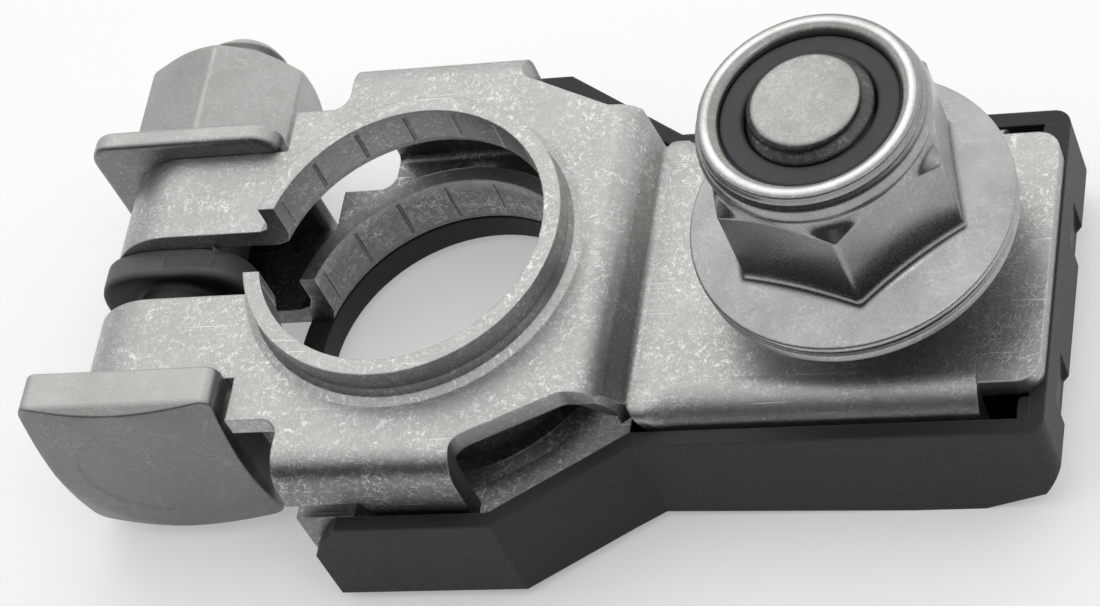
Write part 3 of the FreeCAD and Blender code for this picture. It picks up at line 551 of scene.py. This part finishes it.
def plated(name, base, fleck, dull, flecks=1.0, scratches=1.0, rough=(0.34, 0.48), relief=1.0,
           mottle=0.30, soft=0.15 * MM, bands=()):
    """Frosted metal plating, with its flecks, clouds, grain, edge wear and bands of tone, among them
    painted shade and a painted highlight.
    """
    grain_share, fleck_share, edge_share, fleck_gloss = 0.18, 0.60, 0.30, 0.06
    material, tree, shader = start_material(name)
    place = put(tree, "TexCoord").outputs["Object"]
    edges = use_group(tree, "Soft edges", Radius=soft)
    frost = use_group(tree, "Frosted plating", Place=place, Flecks=flecks, Scratches=scratches,
                      Relief=relief, Base_normal=edges.outputs["Normal"])
    cloudy = blend(tree, ramp(tree, frost.outputs["Clouds"], 0.0, 1.0, 0.0, mottle),
                   banded(tree, place, opaque(base), bands), opaque(dull))
    grained = blend(tree, ramp(tree, frost.outputs["Grain"], 0.0, 1.0, grain_share, 0.0),
                    cloudy, opaque(dull))
    flecked = blend(tree, ramp(tree, frost.outputs["Flecks"], 0.0, 1.0, 0.0, fleck_share),
                    grained, opaque(fleck))
    wear_and_painted_shade = blend(tree, ramp(tree, edges.outputs["Edge"], 0.0, 1.0, 0.0, edge_share), flecked,
                 opaque(fleck))
    tree.links.new(wear_and_painted_shade, shader.inputs["Base Color"])
    shine = maths(tree, "SUBTRACT", ramp(tree, frost.outputs["Grain"], 0.0, 1.0, rough[1], rough[0]),
                  maths(tree, "MULTIPLY", frost.outputs["Flecks"], fleck_gloss))
    tree.links.new(shine, shader.inputs["Roughness"])
    tree.links.new(frost.outputs["Normal"], shader.inputs["Normal"])
    shader.inputs["Metallic"].default_value = 1.0
    return material


def moulded(name, base, soft=0.2 * MM, bands=()):
    """Satin moulded plastic: fine spark-eroded grain, faint clouds, bands of tone such as painted
    shade, and lighter edge wear.
    """
    cloud_gain, edge_gain, cloud_share, edge_share, gloss, matt = 1.9, 5.0, 0.30, 0.70, 0.42, 0.60
    material, tree, shader = start_material(name)
    place = put(tree, "TexCoord").outputs["Object"]
    edges = use_group(tree, "Soft edges", Radius=soft)
    grain = noise(tree, place, 5200.0, 3.0, 0.6)
    clouds = noise(tree, place, 260.0, 3.0)
    lighter, edge_tone = (
        opaque(tuple(min(1.0, gain * part) for part in base)) for gain in (cloud_gain, edge_gain))
    tone = blend(tree, ramp(tree, clouds, 0.3, 0.7, 0.0, cloud_share), opaque(base), lighter)
    tone = banded(tree, place, tone, bands)
    wear_and_painted_shade = blend(tree, ramp(tree, edges.outputs["Edge"], 0.0, 1.0, 0.0, edge_share), tone, edge_tone)
    tree.links.new(wear_and_painted_shade, shader.inputs["Base Color"])
    tree.links.new(ramp(tree, grain, 0.3, 0.7, gloss, matt), shader.inputs["Roughness"])
    shader.inputs["Specular IOR Level"].default_value = 0.32
    bump = put(tree, "Bump", Strength=0.35, Distance=0.012 * MM, Height=grain,
               Normal=edges.outputs["Normal"])
    tree.links.new(bump.outputs[0], shader.inputs["Normal"])
    return material


def centre_of(node, axes):
    """The middle of a node's box on the two given axes, and the box itself."""
    low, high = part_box(node)
    return [(low[k] + high[k]) / 2 for k in axes], low, high


class CLAMP_OT_sheet(bpy.types.Operator):
    """Finish the folded sheet clamp with frosted plating"""

    bl_idname = "clamp.sheet"
    bl_label = "Folded sheet"

    def execute(self, context):
        colours = context.scene.clamp_colours
        # Painted shade: the sheet turns darker below these heights, over its lower plate, and past
        # these widths, over the skirts' outer faces.
        lower_starts, lower_full = -5.5 * MM, -7.0 * MM
        outer_starts, outer_full = 15.2 * MM, 15.9 * MM
        bands = [(Z_AXIS, lower_starts, lower_full, colours.wear_and_painted_shade)]
        for side in (-1, 1):
            bands.append((Y_AXIS, side * outer_starts, side * outer_full, colours.wear_and_painted_shade))
        finish_node("clamp_body", plated(
            "Sheet plating", colours.plating, colours.fleck, colours.dull, bands=bands))
        return {"FINISHED"}


class CLAMP_OT_tongue(bpy.types.Operator):
    """Round the tongue's bent-down edges off into the step"""

    bl_idname = "clamp.tongue"
    bl_label = "Tongue bends"

    def execute(self, context):
        sizes, colours = context.scene.clamp_sizes, context.scene.clamp_colours
        metal = plated("Bend plating", colours.plating, colours.fleck, colours.dull, flecks=0.9)
        for name, side in (("tongue_bend_front", -1), ("tongue_bend_back", 1)):
            piece = add_piece(name, bend_mesh(name, sizes, side), "clamp", "plated_sheet", metal)
            shell = piece.modifiers.new("Sheet", "SOLIDIFY")
            shell.thickness, shell.offset = sizes.sheet, -1.0
            rim = piece.modifiers.new("Rims", "BEVEL")
            rim.width, rim.segments, rim.limit_method = 0.12 * MM, 2, "ANGLE"
        return {"FINISHED"}


class CLAMP_OT_tray(bpy.types.Operator):
    """Finish the carrier tray as moulded plastic and add the lugs in its end corners"""

    bl_idname = "clamp.tray"
    bl_label = "Carrier tray"

    def execute(self, context):
        sizes, colours = context.scene.clamp_sizes, context.scene.clamp_colours
        plastic = moulded("Tray plastic", colours.plastic)
        finish_node("carrier_tray", plastic)
        _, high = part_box("carrier_tray")
        half_long, half_wide, power = 0.42 * MM, 0.85 * MM, 4
        from_end, from_bend, proud, deep = 1.28 * MM, 0.15 * MM, 0.02 * MM, 4.0 * MM
        angles = round_angles(48)
        side = rounded_reach(np.cos(angles), np.sin(angles), half_long, half_wide, power)
        foot, top = high.z - deep, high.z + proud
        rows = section(angles, [(0, foot), (side, foot), (side, top), (0, top)],
                       [0, 0.1, 0.1, 0], ring=False)
        out = sizes.bend_start + sizes.bend_radius - from_bend
        for name, y in (("tray_lug_front", -out), ("tray_lug_back", out)):
            points = spun(angles, rows, (high.x - from_end, y, 0))
            add_piece(name, closed_mesh(name, points, False), "clamp", "dark_plastic", plastic)
        return {"FINISHED"}


class CLAMP_OT_spacer(bpy.types.Operator):
    """Build the moulded spacer between the ears, with its recess, torn nib and bolt sleeve"""

    bl_idname = "clamp.spacer"
    bl_label = "Ear spacer"

    def execute(self, context):
        sizes, colours = context.scene.clamp_sizes, context.scene.clamp_colours
        low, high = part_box("ear_spacer")
        (x, z), _, _ = centre_of("clamp_bolt", BOLT_PLANE)
        nib_angles, recess_angles = np.arange(49.5, 55.0, 0.4), np.arange(96.2, 98.8, 0.5)
        extra = 2 * math.pi - np.radians(np.concatenate([nib_angles, recess_angles]))
        angles = np.unique(np.concatenate([round_angles(144), extra]))
        across, up = np.cos(angles), -np.sin(angles)
        short = 0.5 * MM
        wide = np.where(across < 0, x - low.x, high.x - x - short)
        tall = np.where(up > 0, high.z - z, z - low.z)
        side = rounded_reach(across, up, wide, tall, np.where(across < 0, 2.7, 3.0))
        bore, sleeve = sizes.bolt_radius + 0.06 * MM, sizes.bolt_radius + 0.2 * MM
        sleeve_end = -2.3 * MM
        rows = section(angles, [
            (bore, sleeve_end), (sleeve, sleeve_end), (sleeve, low.y), (side, low.y),
            (side, high.y), (bore, high.y)], [0.05, 0.05, 0.4, 0.7, 0.15, 0.1], ring=True)
        heights = np.array([1.08, 1.14, 1.3, 1.6, 1.9, 1.98, 2.04, 2.10, 2.17, 2.24]) * MM
        straight = np.stack(np.broadcast_arrays(side[:, None], heights[None, :]), -1)
        split = 4 * ROWS_A_CORNER
        rows = joined(rows[:, :split], straight, rows[:, split:])
        points = spun(angles, rows, (x, 0, z), "Y")
        raise_top(points, x, z)
        # Painted shade: the band paints the spacer's front side and sleeve near-black.
        plastic = moulded("Spacer plastic", colours.spacer, bands=(
            (Y_AXIS, 0.9 * MM, 0.3 * MM, colours.deep),))
        add_piece("ear_spacer_moulded", closed_mesh("ear_spacer_moulded", points, True), "clamp",
                  "dark_plastic", plastic, "ear_spacer")
        return {"FINISHED"}


class CLAMP_OT_bolt(bpy.types.Operator):
    """Build the clamp bolt: bevelled square head, plain shank and threaded end"""

    bl_idname = "clamp.bolt"
    bl_label = "Clamp bolt"

    def execute(self, context):
        sizes, colours = context.scene.clamp_sizes, context.scene.clamp_colours
        (x, z), low, high = centre_of("clamp_bolt", BOLT_PLANE)
        flat, radius = (high.x - low.x) / 2, sizes.bolt_radius
        angles, side = polygon(4, flat, 0.85 * MM, flat_steps=9, corner_steps=6)
        face, press, dish, shank = flat - 0.2 * MM, 4.9 * MM, 0.10 * MM, 1.0 * MM
        edge = low.y + np.maximum(side - face, 0.02 * MM) * math.tan(sizes.head_slope)
        under = low.y + sizes.bolt_head
        head = section(angles, [
            (0, low.y + dish), (press - 0.2 * MM, low.y + dish), (press, low.y), (face, low.y),
            (side, edge), (side, under), (radius, under), (radius, under + shank)],
            [0, 0.1, 0.1, 0.7, 0.14, 0.2, 0.2, 0], ring=False)
        threaded, cone, end_flat = 14 * MM, 0.8 * MM, 1.1 * MM
        screw = thread(angles, high.y - threaded, high.y, radius, sizes.bolt_pitch)
        screw = chamfered(screw, radius - cone, high.y)
        tip = section(angles, [
            (screw[:, -1, 0], high.y), (radius - end_flat, high.y), (0, high.y - 0.02 * MM)],
            [0, 0.1, 0], ring=False)
        points = spun(angles, joined(head, screw, tip[:, 1:]), (x, 0, z), "Y")
        # Painted shade: the band darkens the bolt head's front face.
        metal = plated("Bolt plating", colours.plating, colours.fleck, colours.dull,
                       flecks=0.22, scratches=0.0, rough=(0.36, 0.48), bands=(
                           (Y_AXIS, low.y + 1.2 * MM, low.y + 0.7 * MM, colours.wear_and_painted_shade),))
        add_piece("clamp_bolt_cut", closed_mesh("clamp_bolt_cut", points, False),
                  "clamp", "plated_bolt", metal, "clamp_bolt")
        return {"FINISHED"}


class CLAMP_OT_washers(bpy.types.Operator):
    """Build the square plate under the clamp nut and the flat washer with its hub on the stud"""

    bl_idname = "clamp.washers"
    bl_label = "Washers"

    def execute(self, context):
        sizes, colours = context.scene.clamp_sizes, context.scene.clamp_colours
        (x, z), low, high = centre_of("square_washer", BOLT_PLANE)
        angles, side = polygon(4, (high.x - low.x) / 2, 1.8 * MM, flat_steps=9, corner_steps=8)
        bore = sizes.bolt_radius + 0.2 * MM
        rows = section(angles, [(bore, low.y), (side, low.y), (side, high.y), (bore, high.y)],
                       [0.1, 0.45, 0.35, 0.1], ring=True)
        points = spun(angles, rows, (x, 0, z), "Y")
        # Painted shade: the band darkens the square washer's front face.
        metal = plated("Washer plating", colours.plating, colours.fleck, colours.dull,
                       flecks=0.4, scratches=0.3, bands=(
                           (Y_AXIS, low.y + 0.35 * MM, low.y + 0.15 * MM, colours.wear_and_painted_shade),))
        add_piece("square_washer_pressed", closed_mesh("square_washer_pressed", points, True),
                  "bolt_plate", "plated_sheet", metal, "square_washer")

        (x, y), low, high = centre_of("contact_washer", STUD_PLANE)
        angles = round_angles(160)
        bore, hub, rim = sizes.washer_bore, sizes.washer_hub, (high.x - low.x) / 2
        step = high.z - sizes.washer_step
        rows = section(angles, [
            (bore, low.z), (rim, low.z), (rim, step), (hub, step), (hub, high.z), (bore, high.z)],
            [0.15, 0.22, 0.28, 0.1, 0.1, 0.15], ring=True)
        points = spun(angles, rows, (x, y, 0))
        metal = plated("Contact washer plating", colours.plating, colours.fleck, colours.dull,
                       flecks=0.6, scratches=0.3)
        add_piece("contact_washer_pressed", closed_mesh("contact_washer_pressed", points, True),
                  "stud_washer", "plated_sheet", metal, "contact_washer")
        return {"FINISHED"}


class CLAMP_OT_clamp_nut(bpy.types.Operator):
    """Build the tall clamp nut"""

    bl_idname = "clamp.clamp_nut"
    bl_label = "Clamp nut"

    def execute(self, context):
        sizes, colours = context.scene.clamp_sizes, context.scene.clamp_colours
        low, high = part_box("clamp_nut")
        (x, z), _, _ = centre_of("clamp_bolt", BOLT_PLANE)
        flat = sizes.clamp_flats / 2
        angles, side = polygon(6, flat, 0.5 * MM, -sizes.clamp_turn - HALF_HEXAGON,
                               flat_steps=8, corner_steps=5)
        bore, bevel = sizes.bolt_radius + 0.03 * MM, 0.5 * MM
        foot_face, face = flat - 0.1 * MM, flat - 0.3 * MM
        drop = (side - face) * math.tan(NUT_SLOPE)
        rows = section(angles, [
            (bore, low.y), (foot_face, low.y), (side, low.y + 0.25 * drop), (side, high.y - drop),
            (face, high.y), (bore + bevel, high.y), (bore, high.y - bevel)],
            [0.1, 0.1, 0.2, 0.3, 0.25, 0.1, 0.1], ring=True)
        points = spun(angles, rows, (x, 0, z), "Y")
        metal = plated("Clamp nut plating", colours.plating, colours.fleck, colours.dull,
                       flecks=0.3, scratches=0.6, rough=(0.36, 0.50), mottle=0.4)
        add_piece("clamp_nut_cut", closed_mesh("clamp_nut_cut", points, True),
                  "bolt_nut", "plated_nut", metal, "clamp_nut")
        return {"FINISHED"}


class CLAMP_OT_stud(bpy.types.Operator):
    """Build the cable stud: square head, thread and coned tip"""

    bl_idname = "clamp.stud"
    bl_label = "Cable stud"

    def execute(self, context):
        sizes, colours = context.scene.clamp_sizes, context.scene.clamp_colours
        (x, y), low, high = centre_of("cable_stud", STUD_PLANE)
        flat, radius = (high.x - low.x) / 2, sizes.stud_radius
        angles, side = polygon(4, flat, 0.85 * MM, flat_steps=9, corner_steps=6)
        top, bevel = low.z + sizes.stud_head, 0.3 * MM
        shank, threaded = top + 1.2 * MM, top + 1.4 * MM
        head = section(angles, [
            (0, low.z), (0.9 * flat, low.z), (side, low.z + bevel), (side, top), (radius, top),
            (radius, shank)], [0, 0.2, 0.3, 0.2, 0.1, 0], ring=False)
        last, tip_radius = high.z - 0.25 * MM, radius - 0.78 * MM
        screw = thread(angles, threaded, last, radius, sizes.stud_pitch)
        screw = chamfered(screw, tip_radius, high.z)
        tip = section(angles, [
            (screw[:, -1, 0], last), (tip_radius, high.z - 0.03 * MM),
            (0.6 * tip_radius, high.z), (0, high.z)], [0, 0.25, 0.1, 0], ring=False)
        points = spun(angles, joined(head, screw, tip[:, 1:]), (x, y, 0))
        # Painted shade: the stud is near-black just below its top face, over the tip cone and first
        # turns of thread; lower down its thread turns to the darker plating.
        metal = plated("Stud plating", colours.plating, colours.fleck, colours.dull,
                       flecks=0.35, scratches=0.3, rough=(0.38, 0.52), relief=1.4, mottle=0.6,
                       bands=((Z_AXIS, high.z - 0.10 * MM, high.z - 0.16 * MM, colours.thread),
                              (Z_AXIS, high.z - 1.8 * MM, high.z - 2.6 * MM, colours.dull)))
        add_piece("cable_stud_cut", closed_mesh("cable_stud_cut", points, False),
                  "clamp", "plated_bolt", metal, "cable_stud")
        return {"FINISHED"}


class CLAMP_OT_stud_nut(bpy.types.Operator):
    """Build the flange nut with its crimped collar, and the locking insert inside it"""

    bl_idname = "clamp.stud_nut"
    bl_label = "Stud nut"

    def execute(self, context):
        sizes, colours = context.scene.clamp_sizes, context.scene.clamp_colours
        (x, y), low, high = centre_of("stud_nut", STUD_PLANE)
        base, flange, flat = low.z, (high.x - low.x) / 2, sizes.stud_flats / 2
        angles, side = polygon(6, flat, 0.35 * MM, sizes.stud_turn - HALF_HEXAGON,
                               flat_steps=9, corner_steps=6)
        bore = sizes.stud_radius + 0.04 * MM
        slope_run = 2.348 * MM
        slope = (sizes.flange_root - sizes.flange_edge) / slope_run
        foot = base + sizes.flange_edge + (flange - side) * slope
        drop = (side - flat) * math.tan(NUT_SLOPE)
        top, seat = base + 8.05 * MM, base + 8.6 * MM
        shoulder = np.minimum(side - 0.02 * MM, flat + 0.22 * MM)
        outside = [(bore, base), (flange, base), (flange, base + sizes.flange_edge), (side, foot),
                   (side, top - drop), (shoulder, top + 0.12 * MM)]
        roll = [(flat, base + 8.65 * MM), (flat + 0.30 * MM, base + 9.00 * MM),
                (flat + 0.42 * MM, base + 9.55 * MM), (flat + 0.26 * MM, base + 10.08 * MM)]
        lip_out, lip_crest, lip_in = 6.76 * MM, 6.25 * MM, 5.5 * MM
        lip = [(lip_out, base + 10.38 * MM), (lip_out, high.z - 0.14 * MM), (lip_crest, high.z),
               (lip_in + 0.28 * MM, high.z - 0.16 * MM), (lip_in, high.z - 0.42 * MM)]
        rows = section(angles, outside + roll + lip + [(lip_in, seat), (bore, seat)],
                       [0.1, 0.12, 0.15, 0.5, 0.07, 0.2, 0.15, 0.4, 0.4, 0.4, 0.1, 0.15, 0.15, 0.12,
                        0.15, 0.1, 0.1], ring=True)
        points = spun(angles, rows, (x, y, 0))
        metal = plated("Stud nut plating", colours.nut, colours.fleck, colours.dull,
                       flecks=0.35, scratches=0.2, rough=(0.17, 0.30), relief=0.35, mottle=0.6,
                       # Painted shade: the flank band darkens the nut's flats and collar above the
                       # flange.
                       bands=((Z_AXIS, base + 1.25 * MM, base + 1.7 * MM, colours.flank_painted_shade),
                              (Z_AXIS, base + 10.5 * MM, base + 10.7 * MM, colours.lip),
                              # Painted highlight: this band lightens the crest of the lip.
                              (Z_AXIS, high.z - 0.08 * MM, high.z - 0.05 * MM, colours.crest)))
        add_piece("stud_nut_cut", closed_mesh("stud_nut_cut", points, True),
                  "stud_nut", "flange_nut", metal, "stud_nut")

        (x, y), low, high = centre_of("nut_insert", STUD_PLANE)
        angles = round_angles(120)
        outer = (high.x - low.x) / 2
        rows = section(angles, [(bore, low.z), (outer, low.z), (outer, high.z), (bore, high.z)],
                       [0.1, 0.1, 0.25, 0.3], ring=True)
        points = spun(angles, rows, (x, y, 0))
        add_piece("nut_insert_ring", closed_mesh("nut_insert_ring", points, True),
                  "stud_nut", "insert_ring", moulded("Insert ring", colours.insert), "nut_insert")
        return {"FINISHED"}


def lamp(name, energy, location, target, size):
    """A soft rectangular lamp that faces a point."""
    data = bpy.data.lights.new(name, "AREA")
    data.energy = energy
    data.shape = "RECTANGLE"
    data.size, data.size_y = size
    light = bpy.data.objects.new(name, data)
    bpy.context.scene.collection.objects.link(light)
    light.location = location
    light.rotation_euler = (Vector(target) - Vector(location)).to_track_quat("-Z", "Y").to_euler()


class CLAMP_OT_stage(bpy.types.Operator):
    """Set the pale floor, the studio light and the camera"""

    bl_idname = "clamp.stage"
    bl_label = "Stage"

    def execute(self, context):
        scene, colours = context.scene, context.scene.clamp_colours
        low, high = CAD_BOX
        half, below, white_share = 1.5, 0.05 * MM, 0.34
        floor_z = low.z - below
        mesh = bpy.data.meshes.new("floor")
        mesh.from_pydata([(-half, -half, floor_z), (half, -half, floor_z), (half, half, floor_z),
                          (-half, half, floor_z)], [], [(0, 1, 2, 3)])
        floor = bpy.data.objects.new("floor", mesh)
        scene.collection.objects.link(floor)
        material, tree, shader = start_material("Floor")
        shader.inputs["Base Color"].default_value = opaque(colours.floor)
        shader.inputs["Roughness"].default_value = 0.9
        shader.inputs["Emission Color"].default_value = (1, 1, 1, 1)
        seen = put(tree, "LightPath").outputs
        shown = maths(tree, "MAXIMUM", seen["Is Camera Ray"], maths(
            tree, "MAXIMUM", seen["Is Glossy Ray"], seen["Is Transmission Ray"]))
        tree.links.new(maths(tree, "MULTIPLY", shown, white_share), shader.inputs["Emission Strength"])
        mesh.materials.append(material)

        world = bpy.data.worlds.new("Studio")
        scene.world = world
        world.use_nodes = True
        tree = world.node_tree
        place = put(tree, "TexCoord").outputs["Generated"]
        bright_way, dim_from, bright_from, dim, bright = (0.0, 0.6, 0.8), 0.08, 0.62, 0.06, 1.18
        towards = put(tree, "VectorMath", {"operation": "DOT_PRODUCT"}, i0=place, i1=bright_way)
        glow = ramp(tree, towards.outputs["Value"], dim_from, bright_from, dim, bright)
        tree.links.new(glow, tree.nodes["Background"].inputs["Strength"])
        tree.nodes["Background"].inputs["Color"].default_value = (1, 1, 1, 1)

        middle = tuple((low + high) / 2)
        lamp("Key", 0.15, (-0.10, 0.26, 0.40), middle, (0.30, 0.30))
        lamp("Front", 0.05, (0.22, -0.12, 0.38), middle, (0.10, 0.10))

        camera = bpy.data.cameras.new("Camera")
        camera.sensor_width = 36.0
        camera.lens = 115.51
        camera.clip_start, camera.clip_end = 0.01, 10.0
        holder = bpy.data.objects.new("Camera", camera)
        scene.collection.objects.link(holder)
        holder.location = (84.742 * MM, -121.539 * MM, 170.529 * MM)
        holder.rotation_euler = (math.radians(35.4558), math.radians(17.8998), math.radians(9.1609))
        scene.camera = holder
        scene.view_settings.view_transform = "Standard"
        return {"FINISHED"}


class CLAMP_PT_panel(bpy.types.Panel):
    """Lists the clamp's pieces, sizes and colours in the sidebar"""

    bl_idname = "CLAMP_PT_panel"
    bl_label = "Battery terminal clamp"
    bl_space_type = "VIEW_3D"
    bl_region_type = "UI"
    bl_category = "Clamp"

    def draw(self, context):
        for operator in OPERATORS:
            self.layout.operator(operator.bl_idname)
        for holder in (context.scene.clamp_sizes, context.scene.clamp_colours):
            for name in holder.bl_rna.properties.keys():
                if name not in ("rna_type", "name"):
                    self.layout.prop(holder, name)


OPERATORS = (CLAMP_OT_sheet, CLAMP_OT_tongue, CLAMP_OT_tray, CLAMP_OT_spacer, CLAMP_OT_bolt,
             CLAMP_OT_washers, CLAMP_OT_clamp_nut, CLAMP_OT_stud, CLAMP_OT_stud_nut, CLAMP_OT_stage)
CLASSES = (ClampSizes, ClampColours, *OPERATORS, CLAMP_PT_panel)


def register():
    """Register the classes and hang the sizes and colours on the scene."""
    for cls in CLASSES:
        bpy.utils.register_class(cls)
    bpy.types.Scene.clamp_sizes = PointerProperty(type=ClampSizes)
    bpy.types.Scene.clamp_colours = PointerProperty(type=ClampColours)


def unregister():
    """Take the sizes and colours off the scene and the classes out again."""
    del bpy.types.Scene.clamp_colours
    del bpy.types.Scene.clamp_sizes
    for cls in reversed(CLASSES):
        bpy.utils.unregister_class(cls)


def main():
    """Build every piece on the frame."""
    register()
    make_frost()
    make_soft_edges()
    for operator in OPERATORS:
        family, name = operator.bl_idname.split(".")
        getattr(getattr(bpy.ops, family), name)()


if __name__ == "__main__":
    main()
